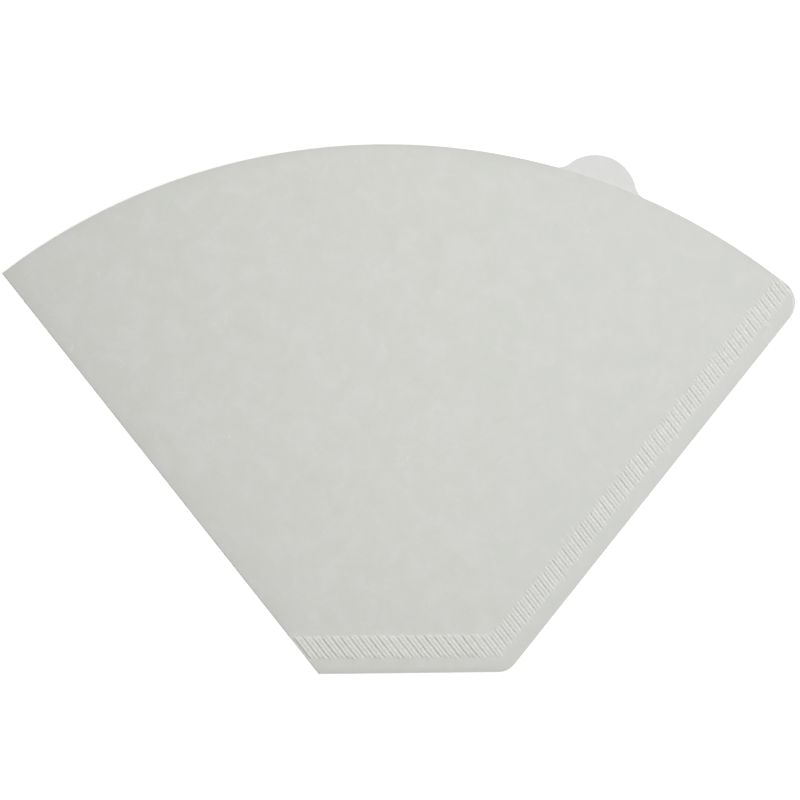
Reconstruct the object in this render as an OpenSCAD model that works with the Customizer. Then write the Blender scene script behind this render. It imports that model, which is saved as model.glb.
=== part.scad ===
// Cone coffee filter of one paper blank, folded on its long side and crimped
// along the seam and the bottom. It lies on its back layer: +Y points to the mouth,
// +Z out of the front layer, and the origin is under the middle of its outline.
// Millimetres.

/* [Outline] */
// Length of the folded side, from the bottom cut to the tip at the mouth
fold_length = 126.6; // [115:0.2:140]
// Length of the seam side, from the bottom cut to the mouth, before the corners are rounded
seam_length = 118; // [108:0.5:130]
// Angle between the folded side and the seam side
wedge_angle = 76.8; // [70:0.2:84]
// Width of the bottom cut between the two sides, before the corner is rounded
bottom_w = 47; // [38:0.5:60]
// Rise of the bottom cut towards the seam side, in degrees
bottom_slope = 0.7; // [-2:0.1:2]
// Radius of the mouth's curved cut
mouth_r = 158.8; // [140:0.2:200]

/* [Corners] */
// Corner radius where the seam side meets the bottom
bottom_corner_r = 5.2; // [3:0.1:9]
// Corner radius of the back layer where the seam side meets the mouth
back_corner_r = 5.8; // [4:0.1:6.5]
// Corner radius of the front layer there, larger so that one layer shows at the rim
front_corner_r = 7.4; // [6.8:0.1:10]

/* [Opening tab] */
// Radius of the tab's rounded end
tab_r = 10.3; // [8:0.1:13]
// How far the tab of the back layer stands out past the mouth's cut
tab_reach = 6.3; // [4:0.1:7.5]
// Place of the tab along the mouth, as an angle from its middle towards the seam
tab_turn = 17.6; // [-24:0.2:26]
// Radius of the hollow corners where the tab leaves the mouth's cut
tab_root_r = 4.2; // [1.5:0.1:5]

/* [Crimped seam] */
// Plain margin between the seam side's cut and the ribs
seam_margin = 4.1; // [3:0.1:5]
// Width of the ribbed band along the seam
seam_crimp_w = 4.6; // [3:0.1:7]
// Plain margin between the bottom cut and the ribs
bottom_margin = 3.9; // [3:0.1:5]
// Width of the ribbed band along the bottom
bottom_crimp_w = 5.2; // [4:0.1:7]
// Radius of the ribbed band's inner corner, towards the pocket
crimp_corner_r = 5; // [2:0.1:8]
// Spacing of the deep grooves, square to the ribs
rib_pitch = 1.83; // [1.6:0.01:2.4]
// Depth of the deep grooves
rib_depth = 0.35; // [0.2:0.01:0.38]
// Depth of the shallow groove between two deep ones
dip_depth = 0.11; // [0.05:0.01:0.16]

/* [Paper] */
// Thickness of the paper
paper_t = 0.2; // [0.16:0.01:0.28]
// Gap between the two layers where they lie flat, and inside the fold
layer_gap = 0.06; // [0.04:0.01:0.12]
// Rise of the front layer over the back one at the middle of the mouth
mouth_rise = 1.3; // [0.8:0.1:3.4]
// Slope of the front layer where it leaves the bottom crimp, in degrees
bottom_lift = 4; // [3:0.5:7]

/* [Hidden] */

// Directions: along the fold and the seam side towards the mouth, square to the
// fold towards the seam side, and along the bottom cut.
half = wedge_angle / 2;
fold_dir = [-sin(half), cos(half)];
seam_dir = [sin(half), cos(half)];
across = [cos(half), sin(half)];
bottom_dir = [cos(bottom_slope), sin(bottom_slope)];
bottom_in = [-bottom_dir[1], bottom_dir[0]];
seam_out = [cos(half), -sin(half)];

// Sharp corners, counted from the point where the two sides' lines would meet.
bottom_left = fold_dir * bottom_w * cos(half + bottom_slope) / sin(wedge_angle);
bottom_right = seam_dir * bottom_w * cos(half - bottom_slope) / sin(wedge_angle);
tip = bottom_left + fold_dir * fold_length;
seam_top = bottom_right + seam_dir * seam_length;

// The mouth's cut is an arc through the tip and the top of the seam side.
chord = seam_top - tip;
chord_dir = chord / norm(chord);
chord_up = [-chord_dir[1], chord_dir[0]];
mouth_c = (tip + seam_top) / 2
    - chord_up * sqrt(mouth_r * mouth_r - chord * chord / 4);

// The fold's turn is a half round tube, a hair slimmer outside and inside than the two
// layers that end in it, each part of the front by a hair more than the next. The
// crimp's grooves are a hair higher than the plain layers, and its ridges stand proud
// of them. Pieces of the sheet run into each other by lap, so that they join as one,
// and a corner's arc crosses its two edges by touch, not just meets them. What is cut
// along the sides runs on past the mouth by reach.
hair = 0.01;
touch = 0.002;
lap = 0.15;
turn_lap = 0.05;
stack_h = 2 * paper_t + layer_gap;
turn_r = stack_h / 2 - hair;
crimp_z = layer_gap + hair;
reach = mouth_r;

// Point on the line through a along u that is also on the line through b along v.
function meet(a, u, b, v) =
    a + u * ((b[0] - a[0]) * v[1] - (b[1] - a[1]) * v[0]) / (u[0] * v[1] - u[1] * v[0]);

// Centre of a corner circle of radius r inside the seam side and the mouth's arc.
function mouth_corner_c(r) =
    let(
        foot = bottom_right - seam_out * r,
        rel = foot - mouth_c,
        b = rel * seam_dir,
        c = rel * rel - (mouth_r - r) * (mouth_r - r)
    )
    foot + seam_dir * (-b + sqrt(b * b - c));

// Extent of the outline, from which the origin is placed.
corner_c = mouth_corner_c(back_corner_r);
x_low = tip[0];
x_high = corner_c[0] + back_corner_r;
y_low = min(bottom_left[1], bottom_right[1]);
y_high = mouth_c[1] + mouth_r;
origin_xy = [(x_low + x_high) / 2, (y_low + y_high) / 2];

// Tab: its round end's centre, and the centres of the two hollow corners.
tab_dir = chord_up * cos(tab_turn) + chord_dir * sin(tab_turn);
tab_side = [tab_dir[1], -tab_dir[0]];
tab_depth = mouth_r + tab_reach - tab_r;
tab_c = mouth_c + tab_dir * tab_depth;
root_along = (pow(mouth_r + tab_root_r, 2) - pow(tab_r + tab_root_r, 2)
    + tab_depth * tab_depth) / (2 * tab_depth);
root_aside = sqrt(pow(mouth_r + tab_root_r, 2) - root_along * root_along);

// The area between the seam side's line moved in by s, the bottom cut's moved in by
// b and the fold's, moved in by f, open beyond the mouth.
module sides(s, b, f = turn_r - turn_lap) {
    left = bottom_left + across * f;
    low = bottom_left + bottom_in * b;
    side = bottom_right - seam_out * s;
    polygon([
        meet(left, fold_dir, low, bottom_dir),
        meet(side, seam_dir, low, bottom_dir),
        side + seam_dir * (seam_length + reach),
        left + fold_dir * (fold_length + reach)
    ]);
}

module mouth_disc(inset = 0) translate(mouth_c) circle(r = mouth_r - inset, $fn = 256);

// What is cut away to round the corner of two edges that touch a circle about c.
// out_a and out_b point from c to the two edges.
module corner_scrap(c, r, out_a, out_b) difference() {
    polygon([
        c, c + out_a * (r + 2), c + (out_a + out_b) * (r + 2), c + out_b * (r + 2)
    ]);
    translate(c) circle(r = r + touch, $fn = 96);
}

module outline(mouth_corner_r, inset = 0, f = turn_r - turn_lap) {
    low_c = meet(
        bottom_right - seam_out * bottom_corner_r, seam_dir,
        bottom_right + bottom_in * bottom_corner_r, bottom_dir
    );
    top_c = mouth_corner_c(mouth_corner_r);
    difference() {
        intersection() {
            sides(inset, inset, f);
            mouth_disc(inset);
        }
        corner_scrap(low_c, bottom_corner_r - inset, -bottom_in, seam_out);
        corner_scrap(
            top_c, mouth_corner_r - inset, seam_out, (top_c - mouth_c) / norm(top_c - mouth_c)
        );
    }
}

module tab() {
    translate(tab_c) circle(r = tab_r, $fn = 128);
    for (s = [-1, 1]) {
        root_c = mouth_c + tab_dir * root_along + tab_side * root_aside * s;
        to_mouth = (mouth_c - root_c) / norm(mouth_c - root_c);
        to_tab = (tab_c - root_c) / norm(tab_c - root_c);
        difference() {
            polygon([
                root_c, root_c + to_mouth * (tab_root_r + 1),
                tab_c - tab_dir * 1, root_c + to_tab * (tab_root_r + 1)
            ]);
            translate(root_c) circle(r = tab_root_r + touch, $fn = 72);
        }
    }
}

module back_outline() {
    outline(back_corner_r);
    tab();
}

// The pocket's area, inside the ribbed band, grown into the band by grow.
module pocket_area(grow, f = turn_r - turn_lap) {
    s = seam_margin + seam_crimp_w;
    b = bottom_margin + bottom_crimp_w;
    c = meet(
        bottom_right - seam_out * (s + crimp_corner_r), seam_dir,
        bottom_right + bottom_in * (b + crimp_corner_r), bottom_dir
    );
    difference() {
        sides(s - grow, b - grow, f);
        corner_scrap(c, crimp_corner_r + grow, -bottom_in, seam_out);
    }
}

// The ribbed band, narrowed by trim on each side. Its end at the mouth stays inside
// the front layer's cut.
module band_area(trim, end_trim, f = turn_r - turn_lap) difference() {
    intersection() {
        sides(seam_margin + trim, bottom_margin + trim, f);
        outline(front_corner_r, end_trim, f);
    }
    pocket_area(trim, f - 1);
}

// Wave of the crimped layers across the ribs: a deep groove, and two ridges with a
// shallow groove between them, over and over. Each point is a share of the spacing
// and a height. The wave starts flat, inside the fold's turn.
rib_start = turn_r + 0.35;
rib_count = ceil(((seam_top - bottom_left) * across - rib_start) / rib_pitch);
wave = [[0, 0], [0.26, rib_depth], [0.5, rib_depth - dip_depth], [0.74, rib_depth]];
wave_line = concat([[0, crimp_z]], [
    for (i = [0:rib_count - 1], p = wave)
        [rib_start + (i + p[0]) * rib_pitch, crimp_z + p[1]]
]);

module ribbed_slab() {
    top = [
        for (i = [len(wave_line) - 1:-1:0])
            [wave_line[i][0], wave_line[i][1] + 2 * paper_t]
    ];
    translate(concat(bottom_left + fold_dir * (fold_length + reach), 0))
        rotate([0, 0, half])
            rotate([90, 0, 0])
                linear_extrude(height = fold_length + 2 * reach)
                    polygon(concat(wave_line, top));
}

module crimp() intersection() {
    ribbed_slab();
    linear_extrude(height = 4) band_area(0, 2 * hair, turn_r - turn_lap - hair);
}

// The front layer over the pocket is part of a flat cone that holds the fold and
// the seam's inner line, and of a plane that rises from the bottom crimp.
pocket_tip = meet(
    bottom_left + across * turn_r, fold_dir,
    bottom_right - seam_out * (seam_margin + seam_crimp_w), seam_dir
);
pocket_reach = let(rel = pocket_tip - mouth_c, b = rel[1])
    -b + sqrt(b * b - rel * rel + mouth_r * mouth_r);
rise_angle = atan(mouth_rise / pocket_reach);
axis_drop = atan((cos(rise_angle) - cos(half)) / sin(rise_angle));
cone_angle = axis_drop + rise_angle;
cone_h = (pocket_reach + reach) * cos(axis_drop) + 6;

module under_vault() {
    intersection() {
        translate([pocket_tip[0], pocket_tip[1], stack_h])
            rotate([-90 - axis_drop, 0, 0])
                cylinder(h = cone_h, r1 = 0, r2 = cone_h * tan(cone_angle), $fn = 256);
        translate([bottom_left[0], bottom_left[1], stack_h]
                + concat(bottom_in * (bottom_margin + bottom_crimp_w), 0))
            rotate([0, 0, bottom_slope])
                rotate([bottom_lift, 0, 0])
                    translate([-fold_length, -reach, -reach])
                        cube([3 * fold_length, 2 * fold_length + reach, reach]);
    }
}

module pocket_front() difference() {
    intersection() {
        linear_extrude(height = 10) intersection() {
            pocket_area(lap, turn_r - turn_lap - 2 * hair);
            mouth_disc();
        }
        under_vault();
    }
    translate([0, 0, -paper_t]) under_vault();
}

module fold_turn() intersection() {
    translate(concat(
        bottom_left + fold_dir * (fold_length + reach) + across * turn_r, stack_h / 2
    ))
        rotate([0, 0, half])
            rotate([90, 0, 0])
                linear_extrude(height = fold_length + 2 * reach)
                    difference() {
                        circle(r = turn_r, $fn = 72);
                        circle(r = layer_gap / 2 - hair, $fn = 72);
                        translate([0, -1]) square(2);
                    }
    linear_extrude(height = 4) intersection() {
        sides(0, 0, -1);
        mouth_disc();
    }
}

module filter_paper() color([0.80, 0.81, 0.79]) translate(concat(-origin_xy, 0)) union() {
    linear_extrude(height = paper_t) difference() {
        back_outline();
        band_area(lap, lap, 0);
    }
    translate([0, 0, paper_t + layer_gap]) linear_extrude(height = paper_t) difference() {
        outline(front_corner_r);
        sides(seam_margin + lap, bottom_margin + lap, -1);
    }
    pocket_front();
    crimp();
    fold_turn();
}

filter_paper();
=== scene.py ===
import math

import bpy
import numpy as np
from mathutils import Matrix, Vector, noise
from mathutils.geometry import delaunay_2d_cdt


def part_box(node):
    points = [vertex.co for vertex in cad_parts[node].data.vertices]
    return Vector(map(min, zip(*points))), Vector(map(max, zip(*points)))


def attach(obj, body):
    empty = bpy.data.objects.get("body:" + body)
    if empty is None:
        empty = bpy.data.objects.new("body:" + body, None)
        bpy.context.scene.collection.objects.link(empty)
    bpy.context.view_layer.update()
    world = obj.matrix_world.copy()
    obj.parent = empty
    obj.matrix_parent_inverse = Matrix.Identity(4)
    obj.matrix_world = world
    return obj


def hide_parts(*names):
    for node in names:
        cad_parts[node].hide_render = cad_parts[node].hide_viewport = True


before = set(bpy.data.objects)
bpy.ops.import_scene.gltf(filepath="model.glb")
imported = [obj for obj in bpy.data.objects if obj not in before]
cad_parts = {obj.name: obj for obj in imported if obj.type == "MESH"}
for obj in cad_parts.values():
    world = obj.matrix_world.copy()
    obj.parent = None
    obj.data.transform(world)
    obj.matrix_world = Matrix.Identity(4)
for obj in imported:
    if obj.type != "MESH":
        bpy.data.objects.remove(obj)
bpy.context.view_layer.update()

mm = 0.001

# Places on the sheet are complex numbers: x + iy in millimetres, seen from above.


def dot(a, b):
    return (a * np.conj(b)).real


def cross(a, b):
    return (np.conj(a) * b).imag


def meet(a, alongA, b, alongB):
    return a + alongA * cross(b - a, alongB) / cross(alongA, alongB)


def smoothStep(x):
    x = np.clip(x, 0, 1)
    return x * x * (3 - 2 * x)


# Camera and light

cameraView = {
    "height": 1.0,          # m above the table, straight down
    "pixel": 0.24805,       # mm of the sheet that one pixel of the picture shows
    "picture": 800,         # pixels, wide and high
    "aim": (0.35, 2.31),    # mm from the middle of the part's box
    "roll": 0.071,          # degrees
    "sensor": 36.0,         # mm
}

studioLight = {
    "skyHex": "#fbfbfb",
    "skyStrength": 0.305,
    "lampHex": "#fffefb",
    # name: power in W, size in m, place in m
    "lamps": {
        "softLamp": (1.18, 0.15, (0.066, 0.067, 0.42)),
        "sideLamp": (3.45, 0.4, (1.05, 0.0, 0.8)),
    },
}


def linear(hexColour):
    channels = [int(hexColour[i:i + 2], 16) / 255 for i in (1, 3, 5)]
    return [c / 12.92 if c <= 0.04045 else ((c + 0.055) / 1.055) ** 2.4 for c in channels] + [1]


def setUpCamera(v):
    data = bpy.data.cameras.new("topCamera")
    data.sensor_width = v["sensor"]
    data.lens = v["sensor"] * v["height"] / (v["pixel"] * v["picture"] * mm)
    camera = bpy.data.objects.new("topCamera", data)
    camera.location = (v["aim"][0] * mm, v["aim"][1] * mm, v["height"])
    camera.rotation_euler = (0, 0, math.radians(v["roll"]))
    bpy.context.scene.collection.objects.link(camera)
    bpy.context.scene.camera = camera


def setUpLight(s):
    for name, (power, size, place) in s["lamps"].items():
        lamp = bpy.data.lights.new(name, "AREA")
        lamp.energy = power
        lamp.size = size
        lamp.color = linear(s["lampHex"])[:3]
        holder = bpy.data.objects.new(name, lamp)
        holder.location = place
        holder.rotation_euler = (-Vector(place)).to_track_quat("-Z", "Y").to_euler()
        holder.visible_camera = False
        bpy.context.scene.collection.objects.link(holder)

    world = bpy.data.worlds.new("studioSky")
    world.use_nodes = True
    sky = world.node_tree.nodes["Background"]
    sky.inputs["Color"].default_value = linear(s["skyHex"])
    sky.inputs["Strength"].default_value = s["skyStrength"]
    bpy.context.scene.world = world


setUpCamera(cameraView)
setUpLight(studioLight)
bpy.context.scene.view_settings.view_transform = "Standard"
print("camera and light set")

# Node helpers


def newMaterial(name):
    material = bpy.data.materials.new(name)
    material.use_nodes = True
    material.node_tree.nodes.clear()
    return material


def addNode(material, kind, settings=None, links=None):
    # settings: attribute or socket values; links: input socket to (node, output socket)
    tree = material.node_tree
    node = tree.nodes.new(kind)
    for key, value in (settings or {}).items():
        if isinstance(key, str) and hasattr(node, key):
            setattr(node, key, value)
        else:
            node.inputs[key].default_value = value
    for key, (source, output) in (links or {}).items():
        tree.links.new(source.outputs[output], node.inputs[key])
    return node


# The filter: one paper blank, folded on its long side and crimped on two others

filterShape = {
    # outline, mm and degrees
    "foldLength": 126.6,
    "seamLength": 118.0,
    "wedge": 76.8,
    "bottomWidth": 47.0,
    "bottomSlope": 0.7,
    "mouthRadius": 158.8,
    "bottomCorner": 5.2,
    "backCorner": 5.8,
    "frontCorner": 7.4,
    # round tab of the back layer
    "tabRadius": 10.3,
    "tabReach": 6.3,
    "tabTurn": 17.6,        # from the middle of the mouth
    "tabRoot": 4.2,
    # crimped band: its place, and its inner and outer corner
    "seamMargin": 4.1,
    "seamBand": 4.6,
    "bottomMargin": 3.9,
    "bottomBand": 5.2,
    "bandCorner": 5.0,
    "bandOuterCorner": 3.0,
    # ribs, in pairs with a groove on each side and a shallower one, the dip, inside
    "ribPitch": 1.83,       # from pair to pair
    "firstGroove": 0.35,    # from the layers' edge at the fold
    "ribPlaces": (0, 0.26, 0.5, 0.74, 1),   # groove, rib, dip, rib, groove: shares of the pitch
    "ribDepth": 0.32,
    "firstRib": 0.82,       # height of a pair's first rib against its second
    "seamDip": 0.55,        # depth of the dip as a share of the groove's, along the seam
    "bottomDip": 0.42,      # the same along the bottom
    "bottomPress": 1.22,    # height of the bottom's ribs against the seam's
    "bottomBlend": 4,       # width over which the bottom's ribs turn into the seam's
    "ribFade": 0.9,         # length over which a rib's end runs out
    "ribUneven": 0.1,       # share by which the ribs' height varies
    "ribStray": 0.3,        # how far the ribs' ends stray
    "ribWander": 0.07,      # how far a rib leaves its straight line
    "ribWanderLength": 2.5,
    "ribSeed": 7.7,
    # paper and how it stands
    "paper": 0.2,
    "gap": 0.06,            # between the layers outside the crimp
    "bandLift": 0.01,       # height of the crimp's grooves over the front layer beside it
    "mouthRise": 1.3,
    "bottomLift": 4.0,      # slopes in degrees where the front leaves the crimp
    "seamLift": 7.0,
    "foldRoll": 0.55,       # extra height that the fold's spring gives, and over what width
    "foldRollWidth": 5.5,
    "cockle": 0.03,         # height of the paper's faint waves, and their length
    "cockleLength": 17.0,
    "cockleSeed": 3.1,
    "cockleFrom": 0.6,      # rise of the front at which they reach that height
    # where the painted highlight on the ribs' tops lies: from this share of a rib's height, and
    # how sharply
    "highlightFrom": 0.4,
    "highlightCurve": 1.5,
    "highlightEnds": 4,          # how far out to a rib's end the painted highlight on its top reaches
    "rimLineHighlight": 2.1,       # painted highlight: how pale the lone layer is beside the front's rim, against the rest
    # how much painted shade each edge shows as a darker rim, and how far in it reaches
    "rims": {"mouth": 0.9, "mouthEnds": 0.25, "tab": 0.4, "bottom": 1.5, "bottomMargin": 0.15,
             "fold": 0.1, "seam": 0.25},
    "rimReach": 0.9,
    "rimBlend": 3,          # width over which the mouth's rim changes at the tab
    "coolWidth": 40,        # width over which the tone gets cooler towards the seam
    # fineness of the mesh
    "edgeStep": 0.5,
    "plainStep": 1.8,
    "ribSteps": 12,         # points across one pair of ribs
    "bandStep": 0.45,       # points along a rib
    "latticeReach": 0.6,    # how far the ribs' lattice goes past the band
    "edgeClear": 0.2,       # how far it stays off the edges
    "foldSteps": 8,
    "sharpAngle": 60,       # degrees, from which an edge is drawn sharp
    "foldLean": 4.0,        # length at each end of the fold over which it leans along the cut
}

p = filterShape
half = math.radians(p["wedge"] / 2)
foldDir = 1j * np.exp(1j * half)
seamDir = 1j * np.exp(-1j * half)
across = np.exp(1j * half)
seamOut = np.exp(-1j * half)
slope = math.radians(p["bottomSlope"])
bottomDir = np.exp(1j * slope)
bottomIn = 1j * bottomDir
sideShare = p["bottomWidth"] / math.sin(2 * half)
bottomLeft = foldDir * sideShare * math.cos(half + slope)
bottomRight = seamDir * sideShare * math.cos(half - slope)
tip = bottomLeft + foldDir * p["foldLength"]
seamTop = bottomRight + seamDir * p["seamLength"]
chord = seamTop - tip
chordDir = chord / abs(chord)
mouthCentre = (tip + seamTop) / 2 - 1j * chordDir * math.sqrt(
    p["mouthRadius"] ** 2 - abs(chord) ** 2 / 4)
turn = p["paper"] + p["gap"] / 2        # the layers stop at the middle of the fold's turn
foldStart = bottomLeft + across * turn
tabDir = 1j * chordDir * np.exp(-1j * math.radians(p["tabTurn"]))
tabDepth = p["mouthRadius"] + p["tabReach"] - p["tabRadius"]
tabCentre = mouthCentre + tabDir * tabDepth
seamInner = p["seamMargin"] + p["seamBand"]
bottomInner = p["bottomMargin"] + p["bottomBand"]


def foldDistance(z):
    return dot(z - bottomLeft, across)


def seamDistance(z):
    return dot(bottomRight - z, seamOut)


def bottomDistance(z):
    return dot(z - bottomRight, bottomIn)


def mouthDistance(z):
    return p["mouthRadius"] - abs(z - mouthCentre)


def sideCorner(fromSeam, fromBottom):
    # where two lines meet that run inside the seam's cut and the bottom's
    return meet(bottomRight - seamOut * fromSeam, seamDir,
                bottomRight + bottomIn * fromBottom, bottomDir)


def towardsMouth(start, direction, inset=0):
    # where a line from a place on the sheet comes within the inset of the mouth's arc
    b = dot(start - mouthCentre, direction)
    c = abs(start - mouthCentre) ** 2 - (p["mouthRadius"] - inset) ** 2
    return start + direction * (-b + math.sqrt(b * b - c))


def mouthCorner(radius):
    return towardsMouth(bottomRight - seamOut * radius, seamDir, radius)


def roundedAway(z, centre, radius, outA, outB):
    # distance inside a corner's arc, for places in the arc's own sector
    z = z - centre
    a = cross(z, outB) / cross(outA, outB)
    b = cross(outA, z) / cross(outA, outB)
    return np.where((a > 0) & (b > 0), radius - abs(z), np.inf)


def outlineDistance(z, corner):
    # distance inside a layer's outline, by the radius of its corner at the mouth
    lowCorner = sideCorner(p["bottomCorner"], p["bottomCorner"])
    topCorner = mouthCorner(corner)
    topOut = (topCorner - mouthCentre) / abs(topCorner - mouthCentre)
    return np.minimum.reduce([
        foldDistance(z) - turn, seamDistance(z), bottomDistance(z), mouthDistance(z),
        roundedAway(z, lowCorner, p["bottomCorner"], -bottomIn, seamOut),
        roundedAway(z, topCorner, corner, seamOut, topOut),
    ])


def bandDistance(z):
    # distances inside the band's outer line and inside its inner one, with round corners
    return tuple(
        np.minimum.reduce([
            seamDistance(z) - fromSeam, bottomDistance(z) - fromBottom,
            roundedAway(z, sideCorner(fromSeam + radius, fromBottom + radius), radius,
                        -bottomIn, seamOut),
        ])
        for fromSeam, fromBottom, radius in (
            (p["seamMargin"], p["bottomMargin"], p["bandOuterCorner"]),
            (seamInner, bottomInner, p["bandCorner"]))
    )


# Heights of the two layers' middles over the table, mm

ribStart = turn + p["firstGroove"]
ribPlaces = np.array(p["ribPlaces"])
ribHeights = np.array([0, p["firstRib"], 0, 1, 0])      # the dip's is set by its place
pocketTip = meet(foldStart, foldDir, bottomRight - seamOut * seamInner, seamDir)
pocketReach = abs(pocketTip - mouthCentre - 1j * p["mouthRadius"])


def wander(z, seed, length):
    # smooth random values around 0, which change over about that length
    return np.array([noise.noise(Vector((q.real / length, q.imag / length, seed))) for q in z])


def uneven(number, a, b=0, c=0):
    # values from -1 to 1 without a visible order, one for each number
    return np.sin(a * number + b * np.sin(c * number))


def ribPlace(z):
    # which pair of ribs a place lies in, and how far across it
    away = foldDistance(z) - ribStart
    stray = p["ribWander"] * wander(z, p["ribSeed"], p["ribWanderLength"])
    return (away + stray * smoothStep(away / p["ribPitch"])) / p["ribPitch"]


def atBottom(z):
    return smoothStep((seamDistance(z) - bottomDistance(z)) / p["bottomBlend"])


def ribShape(z):
    # height across a pair of ribs, of 1 at the higher rib's top
    share = ribPlace(z) % 1
    dip = 1 - p["seamDip"] + (p["seamDip"] - p["bottomDip"]) * atBottom(z)
    k = np.clip(np.searchsorted(ribPlaces, share, side="right") - 1, 0, 3)
    x = (share - ribPlaces[k]) / (ribPlaces[k + 1] - ribPlaces[k])
    low = np.where(k == 2, dip, ribHeights[k])
    high = np.where(k == 1, dip, ribHeights[k + 1])
    return low + (high - low) * smoothStep(x)


def ribWave(z):
    pair = np.floor(ribPlace(z))
    height = 1 + p["ribUneven"] * uneven(pair, 2.3, 1.7, 0.9)
    press = p["ribDepth"] * (1 + (p["bottomPress"] - 1) * atBottom(z))
    return np.where(pair < 0, 0, ribShape(z) * height * press)


def bandShare(z):
    # 1 inside the crimped band, 0 outside it, and between them where the ribs run out
    outer, inner = bandDistance(z)
    rib = np.floor(2 * ribPlace(z))
    outer = outer + p["ribStray"] * 0.5 * uneven(rib, 5.1)
    inner = inner - p["ribStray"] * 0.5 * uneven(rib, 3.7, 2, 1.3)
    return smoothStep(0.5 + outer / p["ribFade"]) * smoothStep(0.5 - inner / p["ribFade"])


def smoothLeast(values, power=3.0, least=1e-4):
    # the least of the values, rounded off where they meet
    total = sum(np.maximum(value, least) ** -power for value in values)
    return total ** (-1 / power)


def pocketLift(z):
    # a flat cone, highest on the side of the fold, that runs out at the crimp
    away = z - pocketTip
    turned = np.clip(np.angle(foldDir / away) / (2 * half), 0, 1)
    peak = 27 / 4       # brings the product below to 1 at its highest
    cone = abs(away) / pocketReach * p["mouthRise"] * peak * turned * (1 - turned) ** 2
    fromFold = np.maximum(foldDistance(z) - turn, 0)
    roll = p["foldRoll"] * (1 - turned) * (1 - np.exp(-fromFold / p["foldRollWidth"]))
    lift = smoothLeast([
        cone + roll,
        math.tan(math.radians(p["bottomLift"])) * (bottomDistance(z) - bottomInner),
        math.tan(math.radians(p["seamLift"])) * (seamDistance(z) - seamInner),
    ])
    return np.where(bandDistance(z)[1] > 0, lift, 0)


def layerHeights(z):
    band = bandShare(z)
    wave = ribWave(z)
    step = p["ribPitch"] / 40
    steepness = band * (ribWave(z + across * step) - ribWave(z - across * step)) / (2 * step)
    back = p["paper"] / 2 + band * (p["gap"] + p["bandLift"] + wave)
    apart = p["paper"] * np.sqrt(1 + steepness ** 2) + p["gap"] * (1 - band)
    lift = pocketLift(z)
    waves = p["cockle"] * (1 + wander(z, p["cockleSeed"], p["cockleLength"]))
    return back, back + apart + lift + waves * np.clip(lift / p["cockleFrom"], 0, 1)


# Tones laid on the paper, as shares from 0 to 1 or somewhat over it, most of them painted light
# and shade


def ribHighlightTone(z):
    # painted highlight: the ribs' tops paler, as where light catches them
    tops = np.clip((ribShape(z) - p["highlightFrom"]) / (1 - p["highlightFrom"]), 0, 1) ** p["highlightCurve"]
    return smoothStep(p["highlightEnds"] * bandShare(z)) * tops


def loneLayerLight(z, overTab):
    # painted light through the back layer where it lies alone, and a painted highlight on the
    # front's rim line
    tolerance = 0.01
    inFront = outlineDistance(z, p["frontCorner"])
    shared = (outlineDistance(z, p["backCorner"]) < tolerance) & (overTab == 0)
    highlightLine = np.where(inFront > -tolerance, p["rimLineHighlight"], 1)
    return np.where((inFront > tolerance) | shared, 0, highlightLine)


def rimTone(z, overTab):
    # painted shade: a darker rim on the front, which fades at both ends of the mouth and over the
    # tab
    rims = p["rims"]
    toFold = dot(z - tabCentre, 1j * tabDir)
    opened = smoothStep((toFold - p["tabRadius"]) / p["rimBlend"])
    opened = opened * (1 - (toFold / p["mouthRadius"]) ** 2)
    mouthShade = rims["mouthEnds"] + (rims["mouth"] - rims["mouthEnds"]) * opened
    mouthShade = mouthShade + (rims["tab"] - mouthShade) * overTab
    edges = [
        share * np.exp(-np.maximum(distance, 0) / p["rimReach"]) for share, distance in (
            (mouthShade, mouthDistance(z)), (rims["bottom"], bottomDistance(z)),
            (rims["fold"], foldDistance(z) - turn), (rims["seam"], seamDistance(z)))
    ]
    # painted shade also over the bottom margin outside the band
    outside = smoothStep(-2 * bandDistance(z)[0])
    return np.maximum.reduce(edges + [rims["bottomMargin"] * atBottom(z) * outside])


def coolTone(z):
    return smoothStep(0.5 + (z - bottomRight).real / p["coolWidth"])


# Outlines: the two layers share their points wherever their edges run together


def steps(start, stop, step, extra=()):
    # even places from start to stop, with the extra ones instead of those close to them
    count = max(2, math.ceil(abs(stop - start) / step))
    values = list(np.linspace(start, stop, count + 1))
    low, high = min(start, stop), max(start, stop)
    values = [v for v in values if all(abs(v - e) > step * 0.3 for e in extra)]
    values += [e for e in extra if low - 1e-9 <= e <= high + 1e-9]
    return np.array(sorted(values, reverse=bool(start > stop)))


def arc(centre, radius, start, stop, step):
    while stop - start > math.pi:
        stop -= 2 * math.pi
    while stop - start < -math.pi:
        stop += 2 * math.pi
    return centre + radius * np.exp(1j * steps(start, stop, step / radius))


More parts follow.
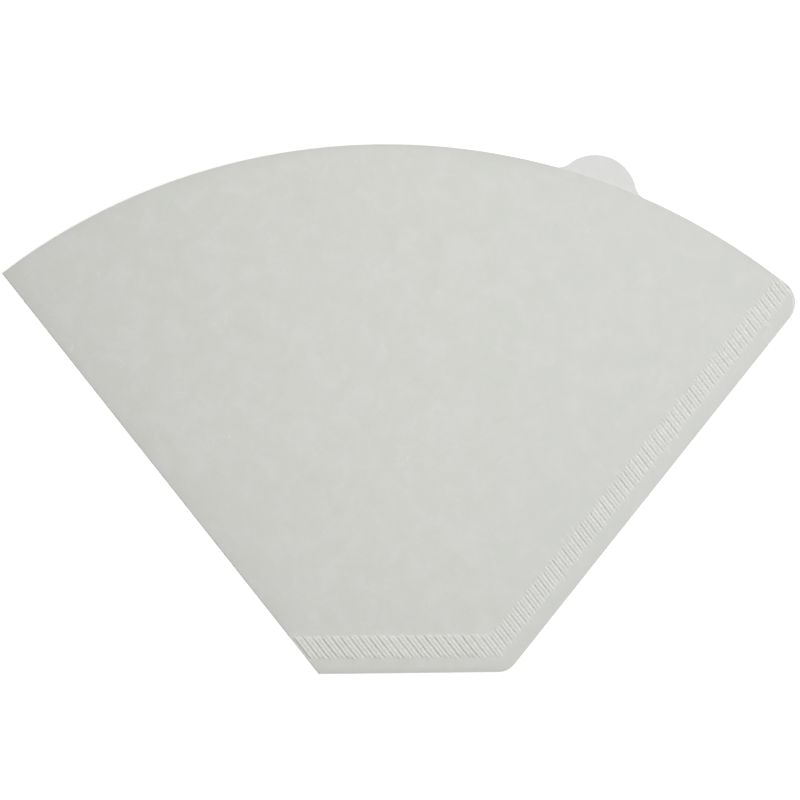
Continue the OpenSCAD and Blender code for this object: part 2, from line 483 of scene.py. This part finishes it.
def layerLoops():
    # closed outlines of the back layer, with its tab, and of the front layer
    lowCorner = sideCorner(p["bottomCorner"], p["bottomCorner"])
    corners = {r: mouthCorner(r) for r in (p["backCorner"], p["frontCorner"])}
    foldTop = towardsMouth(foldStart, foldDir)
    foldAngle = np.angle(foldTop - mouthCentre)

    # centres of the fillets at the tab's two roots
    rootReach = p["mouthRadius"] + p["tabRoot"]
    tabToRoot = p["tabRadius"] + p["tabRoot"]
    along = (rootReach ** 2 - tabToRoot ** 2 + tabDepth ** 2) / (2 * tabDepth)
    aside = math.sqrt(rootReach ** 2 - along ** 2)
    rightRoot, leftRoot = [mouthCentre + tabDir * (along + side * 1j * aside) for side in (-1, 1)]

    # breaks of the mouth's arc and of the seam's cut, shared by both layers
    breakPlaces = (*corners.values(), rightRoot, leftRoot)
    mouthBreaks = [np.angle(place - mouthCentre) for place in breakPlaces]
    mouthAngles = steps(np.angle(seamTop - mouthCentre), foldAngle,
                        p["edgeStep"] / p["mouthRadius"], mouthBreaks)
    seamBreaks = [dot(place - bottomRight, seamDir) for place in (lowCorner, *corners.values())]
    seamPlaces = steps(0, p["seamLength"], p["edgeStep"], seamBreaks)
    low = arc(lowCorner, p["bottomCorner"], np.angle(-bottomIn), np.angle(seamOut), p["edgeStep"])
    bottomStart = meet(foldStart, foldDir, bottomLeft, bottomDir)
    bottom = bottomStart + bottomDir * steps(0, abs(low[0] - bottomStart), p["edgeStep"])
    fold = foldTop - foldDir * steps(0, abs(foldTop - bottomStart), p["edgeStep"])

    def side(radius):
        # bottom, low corner, seam and corner at the mouth, with the angle where that ends
        top = corners[radius]
        topAngle = np.angle(top - mouthCentre)
        start, stop = seamBreaks[0], dot(top - bottomRight, seamDir)
        chosen = seamPlaces[(seamPlaces > start + 1e-6) & (seamPlaces < stop - 1e-6)]
        seam = bottomRight + seamDir * chosen
        corner = arc(top, radius, np.angle(seamOut), topAngle, p["edgeStep"] / 2)
        return np.concatenate([bottom[:-1], low, seam, corner]), topAngle

    def mouth(start, stop):
        chosen = mouthAngles[(mouthAngles > start + 1e-9) & (mouthAngles < stop - 1e-9)]
        return mouthCentre + p["mouthRadius"] * np.exp(1j * chosen)

    backSide, backStart = side(p["backCorner"])
    frontSide, frontStart = side(p["frontCorner"])
    fillets = [
        arc(root, p["tabRoot"], np.angle(start - root), np.angle(stop - root), p["edgeStep"] / 2)
        for root, start, stop in (
            (rightRoot, mouthCentre, tabCentre), (leftRoot, tabCentre, mouthCentre))
    ]
    crown = arc(tabCentre, p["tabRadius"], np.angle(rightRoot - tabCentre),
                np.angle(leftRoot - tabCentre), p["edgeStep"])
    back = np.concatenate([
        backSide, mouth(backStart, mouthBreaks[2]), fillets[0], crown[1:-1], fillets[1],
        mouth(mouthBreaks[3], foldAngle), fold[:-1],
    ])
    front = np.concatenate([frontSide, mouth(frontStart, foldAngle), fold[:-1]])
    return back, front


def innerPlaces():
    # a fine lattice along the ribs, from two columns before the first groove
    columns = np.arange(ribStart - p["ribPitch"] / 6, foldDistance(seamTop) + 1,
                        p["ribPitch"] / p["ribSteps"])
    rows = np.arange(-p["seamLength"], p["foldLength"], p["bandStep"])
    u, v = np.meshgrid(columns, rows)
    lattice = (bottomLeft + across * u + foldDir * v).ravel()
    outer, inner = bandDistance(lattice)
    lattice = lattice[(outer > -p["latticeReach"]) & (inner < p["latticeReach"])]

    # a plain grid of even triangles elsewhere
    step = p["plainStep"]
    row = step * 0.866      # height of an even triangle
    clear = 0.4 * step
    reach = p["mouthRadius"]
    x, y = np.meshgrid(np.arange(-reach, reach, step), np.arange(0, 2 * reach, row))
    x = x + (np.round(y / row) % 2) * step / 2
    grid = (x + 1j * y).ravel()
    outer, inner = bandDistance(grid)
    away = p["latticeReach"] + clear
    grid = grid[(inner > away) | (outer < -away)]
    inTab = abs(grid - tabCentre) < p["tabRadius"] - 0.5 * step
    tabGrid = grid[inTab & (mouthDistance(grid) < -clear)]

    # all keep off the cuts, also off the front layer's where it crosses the back layer
    places = np.concatenate([
        lattice[outlineDistance(lattice, p["backCorner"]) > p["edgeClear"]],
        grid[outlineDistance(grid, p["backCorner"]) > 0.45 * step],
        tabGrid,
    ])
    return places[abs(outlineDistance(places, p["frontCorner"])) > p["edgeClear"]]


def triangulate():
    back, front = layerLoops()
    points = np.concatenate([back, front, innerPlaces()])
    edges = [(i, (i + 1) % len(back)) for i in range(len(back))]
    edges += [(len(back) + i, len(back) + (i + 1) % len(front)) for i in range(len(front))]
    coords = [Vector((z.real, z.imag)) for z in points]
    flat, _, faces, *_ = delaunay_2d_cdt(coords, edges, [list(range(len(back)))], 1, 1e-4)
    z = np.array([complex(*v) for v in flat])
    return z, np.array(faces)


def foldStrip(z, backHeight, frontHeight, frontIndex, first):
    # the fold: half a turn from the back layer's edge to the front layer's, which
    # leans along the fold near its ends, so that these stay on the two cuts
    onFold = np.where(abs(foldDistance(z) - turn) < 1e-3)[0]
    onFold = onFold[np.argsort(dot(z[onFold], foldDir))]
    foot, top = z[onFold[0]], z[onFold[-1]]
    mouthOut = (top - mouthCentre) / abs(top - mouthCentre)
    footLean = dot(across, bottomIn) / dot(foldDir, bottomIn)
    topLean = dot(across, mouthOut) / dot(foldDir, mouthOut)
    vertices, columns = [], []
    for i in onFold:
        middle = (backHeight[i] + frontHeight[i]) / 2
        radius = (frontHeight[i] - backHeight[i]) / 2
        fromFoot = max(0, 1 - abs(z[i] - foot) / p["foldLean"])
        fromTop = max(0, 1 - abs(z[i] - top) / p["foldLean"])
        aside = across - foldDir * (footLean * fromFoot + topLean * fromTop)
        column = [int(i)]
        for k in range(1, p["foldSteps"]):
            angle = math.pi * k / p["foldSteps"]
            q = z[i] - aside * radius * math.sin(angle)
            column.append(first + len(vertices))
            vertices.append((q.real, q.imag, middle - radius * math.cos(angle)))
        columns.append(column + [int(frontIndex[i])])
    quads = [
        (low[k], low[k + 1], high[k + 1], high[k])
        for low, high in zip(columns, columns[1:]) for k in range(p["foldSteps"])
    ]
    return vertices, quads


def frameShift():
    # the outline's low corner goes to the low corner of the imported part's box
    low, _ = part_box("filter_paper")
    corner = complex(tip.real, min(bottomLeft.imag, bottomRight.imag))
    return complex(low[0] / mm, low[1] / mm) - corner


def buildSheet():
    z, faces = triangulate()
    middles = z[faces].mean(axis=1)
    isFront = outlineDistance(middles, p["frontCorner"]) > 0
    frontUsed = np.unique(faces[isFront])
    frontIndex = np.full(len(z), -1)
    frontIndex[frontUsed] = len(z) + np.arange(len(frontUsed))

    backHeight, frontHeight = layerHeights(z)
    vertices = [(q.real, q.imag, h) for q, h in zip(z, backHeight)]
    vertices += [(z[i].real, z[i].imag, frontHeight[i]) for i in frontUsed]
    polygons = [tuple(f[::-1]) for f in faces.tolist()]
    polygons += [tuple(frontIndex[list(f)].tolist()) for f in faces[isFront]]
    strip, quads = foldStrip(z, backHeight, frontHeight, frontIndex, len(vertices))

    mesh = bpy.data.meshes.new("foldedPaper")
    shift = frameShift()
    mesh.from_pydata([((x + shift.real) * mm, (y + shift.imag) * mm, h * mm)
                      for x, y, h in vertices + strip], [], polygons + quads)
    mesh.update()

    # name: tone of the back layer, of the front layer and of the fold's strip
    overTab = smoothStep((p["tabRadius"] + 1 - abs(z - tabCentre)) / p["rimBlend"])
    none = np.zeros(len(z))
    ribs, cool = ribHighlightTone(z), coolTone(z)
    # painted highlight on the ribs, painted light through the lone layer, painted shade on the
    # rims, and a cooler tone
    tones = {
        "paintedRibHighlight": (ribs, ribs, 0),
        "paintedLightThrough": (loneLayerLight(z, overTab), none, 0),
        "rim": (none, rimTone(z, overTab), p["rims"]["fold"]),
        "cool": (cool, cool, 0),
    }
    for name, (back, front, fold) in tones.items():
        values = np.concatenate([back, front[frontUsed], np.full(len(strip), float(fold))])
        mesh.attributes.new(name, "FLOAT", "POINT").data.foreach_set("value", values)
    return mesh


def thicken(sheet):
    # the real thickness, half to each side, and the cut edges sharp
    bpy.context.view_layer.objects.active = sheet
    wall = sheet.modifiers.new("paperThickness", "SOLIDIFY")
    wall.thickness = p["paper"] * mm
    wall.offset = 0
    bpy.ops.object.modifier_apply(modifier=wall.name)
    sheet.data.polygons.foreach_set("use_smooth", [True] * len(sheet.data.polygons))
    sheet.data.set_sharp_from_angle(angle=math.radians(p["sharpAngle"]))


# Filter paper: bleached long fibres laid wet on a wire, unglazed and unsized. It is
# dull all over, faintly cloudy where the fibres bunched, lets some light through, and
# looks paler where only one layer lies on a pale ground.

# The tones laid on it below paint a highlight on the ribs' tops, light through the lone layer and
# shade along the edges.
filterPaper = {
    # clouds from deep to pale, and paler mottle over them
    "deepHex": "#d3d6d0",
    "paleHex": "#dadad9",
    "mottleHex": "#dfe0dd",
    # size in mm, detail, roughness, distortion
    "noises": {
        "clouds": (5.2, 5.0, 0.62, 0.6),
        "mottle": (2.2, 3.0, 0.7, 2.5),
        "felt": (0.5, 2.0, 0.6, 0.0),       # the wire's and felt's print
        "curls": (2.6, 0.0, 0.5, 1.2),      # the way that a fibre curls
    },
    # which noise, which of its values count, and the shares they give
    "ranges": {
        "clouds": ("clouds", 0.3, 0.7, 0.0, 1.0),
        "mottle": ("mottle", 0.56, 0.74, 0.0, 0.6),
        "spots": ("felt", 0.35, 0.65, 0.2, 1.0),
    },
    "fibreHex": "#dfe0dd",
    "fibreWidth": 0.011,    # share of the curl
    "fibreAmount": 0.03,    # share of the sheet where fibres show
    "fleckHex": "#d2d1cd",
    "fleckSpacing": 14.0,   # mm
    "fleckSize": 0.015,     # share of the spacing
    # what the sheet's tones add, painted light and shade among them, in the order they are laid
    # on: colour, strength
    "tones": {
        "cool": ("#d4d6da", 0.2),
        "paintedLightThrough": ("#e4e4e5", 0.4),
        "rim": ("#cbcbc8", 0.6),
        "paintedRibHighlight": ("#eeeeec", 1.2),
    },
    "feltHeight": 0.012,    # mm
    "lightThrough": 0.08,
    "roughness": 0.9,
    "specular": 0.25,
}


def makePaper(s):
    material = newMaterial("unglazedFilterPaper")
    place = addNode(material, "ShaderNodeTexCoord")
    metre = {"Vector": (place, "Object")}
    noises = {
        name: addNode(material, "ShaderNodeTexNoise", {
            "Scale": 1 / (size * mm), "Detail": detail, "Roughness": roughness,
            "Distortion": distortion}, metre)
        for name, (size, detail, roughness, distortion) in s["noises"].items()
    }
    shares = {
        name: addNode(material, "ShaderNodeMapRange", {
            "From Min": low, "From Max": high, "To Min": least, "To Max": most},
            {"Value": (noises[source], "Fac")})
        for name, (source, low, high, least, most) in s["ranges"].items()
    }

    # fibres: short stretches of a smooth pattern's contour lines
    contour = addNode(material, "ShaderNodeMath", {
        "operation": "COMPARE", 1: 0.5, 2: s["fibreWidth"]}, {0: (noises["curls"], "Fac")})
    patches = addNode(material, "ShaderNodeTexVoronoi", {
        "Scale": 1 / (s["noises"]["curls"][0] * mm)}, metre)
    patchValue = addNode(material, "ShaderNodeSeparateColor", {}, {"Color": (patches, "Color")})
    chosen = addNode(material, "ShaderNodeMath", {
        "operation": "LESS_THAN", 1: s["fibreAmount"]}, {0: (patchValue, "Red")})
    fibre = addNode(material, "ShaderNodeMath", {"operation": "MULTIPLY"},
                    {0: (contour, "Value"), 1: (chosen, "Value")})

    flecks = addNode(material, "ShaderNodeTexVoronoi", {
        "voronoi_dimensions": "2D", "Scale": 1 / (s["fleckSpacing"] * mm)}, metre)
    fleck = addNode(material, "ShaderNodeMath", {
        "operation": "LESS_THAN", 1: s["fleckSize"]}, {0: (flecks, "Distance")})

    layers = [
        (s["mottleHex"], (shares["mottle"], "Result")),
        (s["fibreHex"], (fibre, "Value")),
        (s["fleckHex"], (fleck, "Value")),
    ]
    # the sheet's tones: a cooler tone towards the seam, painted light through the lone layer,
    # painted shade along the front's edges, and a painted highlight on the ribs' tops, given in
    # spots
    for name, (hexColour, strength) in s["tones"].items():
        tone = addNode(material, "ShaderNodeAttribute", {"attribute_name": name})
        amount = addNode(material, "ShaderNodeMath", {"operation": "MULTIPLY", 1: strength},
                         {0: (tone, "Fac")})
        if name == "paintedRibHighlight":
            amount = addNode(material, "ShaderNodeMath", {"operation": "MULTIPLY"},
                             {0: (amount, "Value"), 1: (shares["spots"], "Result")})
        layers.append((hexColour, (amount, "Value")))
    colour = addNode(material, "ShaderNodeMix", {
        "data_type": "RGBA", 6: linear(s["deepHex"]), 7: linear(s["paleHex"])},
        {0: (shares["clouds"], "Result")})
    for hexColour, share in layers:
        colour = addNode(material, "ShaderNodeMix", {"data_type": "RGBA", 7: linear(hexColour)},
                         {0: share, 6: (colour, 2)})

    bump = addNode(material, "ShaderNodeBump", {
        "Strength": 1.0, "Distance": s["feltHeight"] * mm},
        {"Height": (noises["felt"], "Fac")})
    surface = {"Normal": (bump, "Normal")}
    paper = addNode(material, "ShaderNodeBsdfPrincipled", {
        "Roughness": s["roughness"], "Specular IOR Level": s["specular"]},
        {"Base Color": (colour, 2), **surface})
    through = addNode(material, "ShaderNodeBsdfTranslucent", {}, {"Color": (colour, 2), **surface})
    sheet = addNode(material, "ShaderNodeMixShader", {0: s["lightThrough"]},
                    {1: (paper, "BSDF"), 2: (through, "BSDF")})
    addNode(material, "ShaderNodeOutputMaterial", {}, {"Surface": (sheet, "Shader")})
    return material


piece = bpy.data.objects.new("folded_filter", buildSheet())
bpy.context.scene.collection.objects.link(piece)
thicken(piece)
piece.data.materials.append(makePaper(filterPaper))
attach(piece, "root")
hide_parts("filter_paper")
print("filter:", len(piece.data.vertices), "points,",
      sum(len(f.vertices) - 2 for f in piece.data.polygons), "triangles")

# Floor: matt, and seen by the camera with a glow that takes it to the photograph's white

studioFloor = {"size": 4.0, "hex": "#c4c4c4", "cameraGlow": 0.58}


def makeFloor(s):
    reach = s["size"] / 2
    corners = ((-1, -1), (1, -1), (1, 1), (-1, 1))
    mesh = bpy.data.meshes.new("studioFloor")
    mesh.from_pydata([(x * reach, y * reach, 0) for x, y in corners], [], [(0, 1, 2, 3)])
    floor = bpy.data.objects.new("studioFloor", mesh)
    bpy.context.scene.collection.objects.link(floor)

    material = newMaterial("paleFloor")
    rays = addNode(material, "ShaderNodeLightPath")
    seen = addNode(material, "ShaderNodeMath", {"operation": "MAXIMUM"},
                   {0: (rays, "Is Camera Ray"), 1: (rays, "Is Glossy Ray")})
    seen = addNode(material, "ShaderNodeMath", {"operation": "MAXIMUM"},
                   {0: (seen, "Value"), 1: (rays, "Is Transmission Ray")})
    glow = addNode(material, "ShaderNodeMath", {"operation": "MULTIPLY", 1: s["cameraGlow"]},
                   {0: (seen, "Value")})
    matt = addNode(material, "ShaderNodeBsdfDiffuse", {"Color": linear(s["hex"])})
    light = addNode(material, "ShaderNodeEmission", {}, {"Strength": (glow, "Value")})
    both = addNode(material, "ShaderNodeAddShader", {},
                   {0: (matt, "BSDF"), 1: (light, "Emission")})
    addNode(material, "ShaderNodeOutputMaterial", {}, {"Surface": (both, "Shader")})
    mesh.materials.append(material)


makeFloor(studioFloor)
print("floor set")
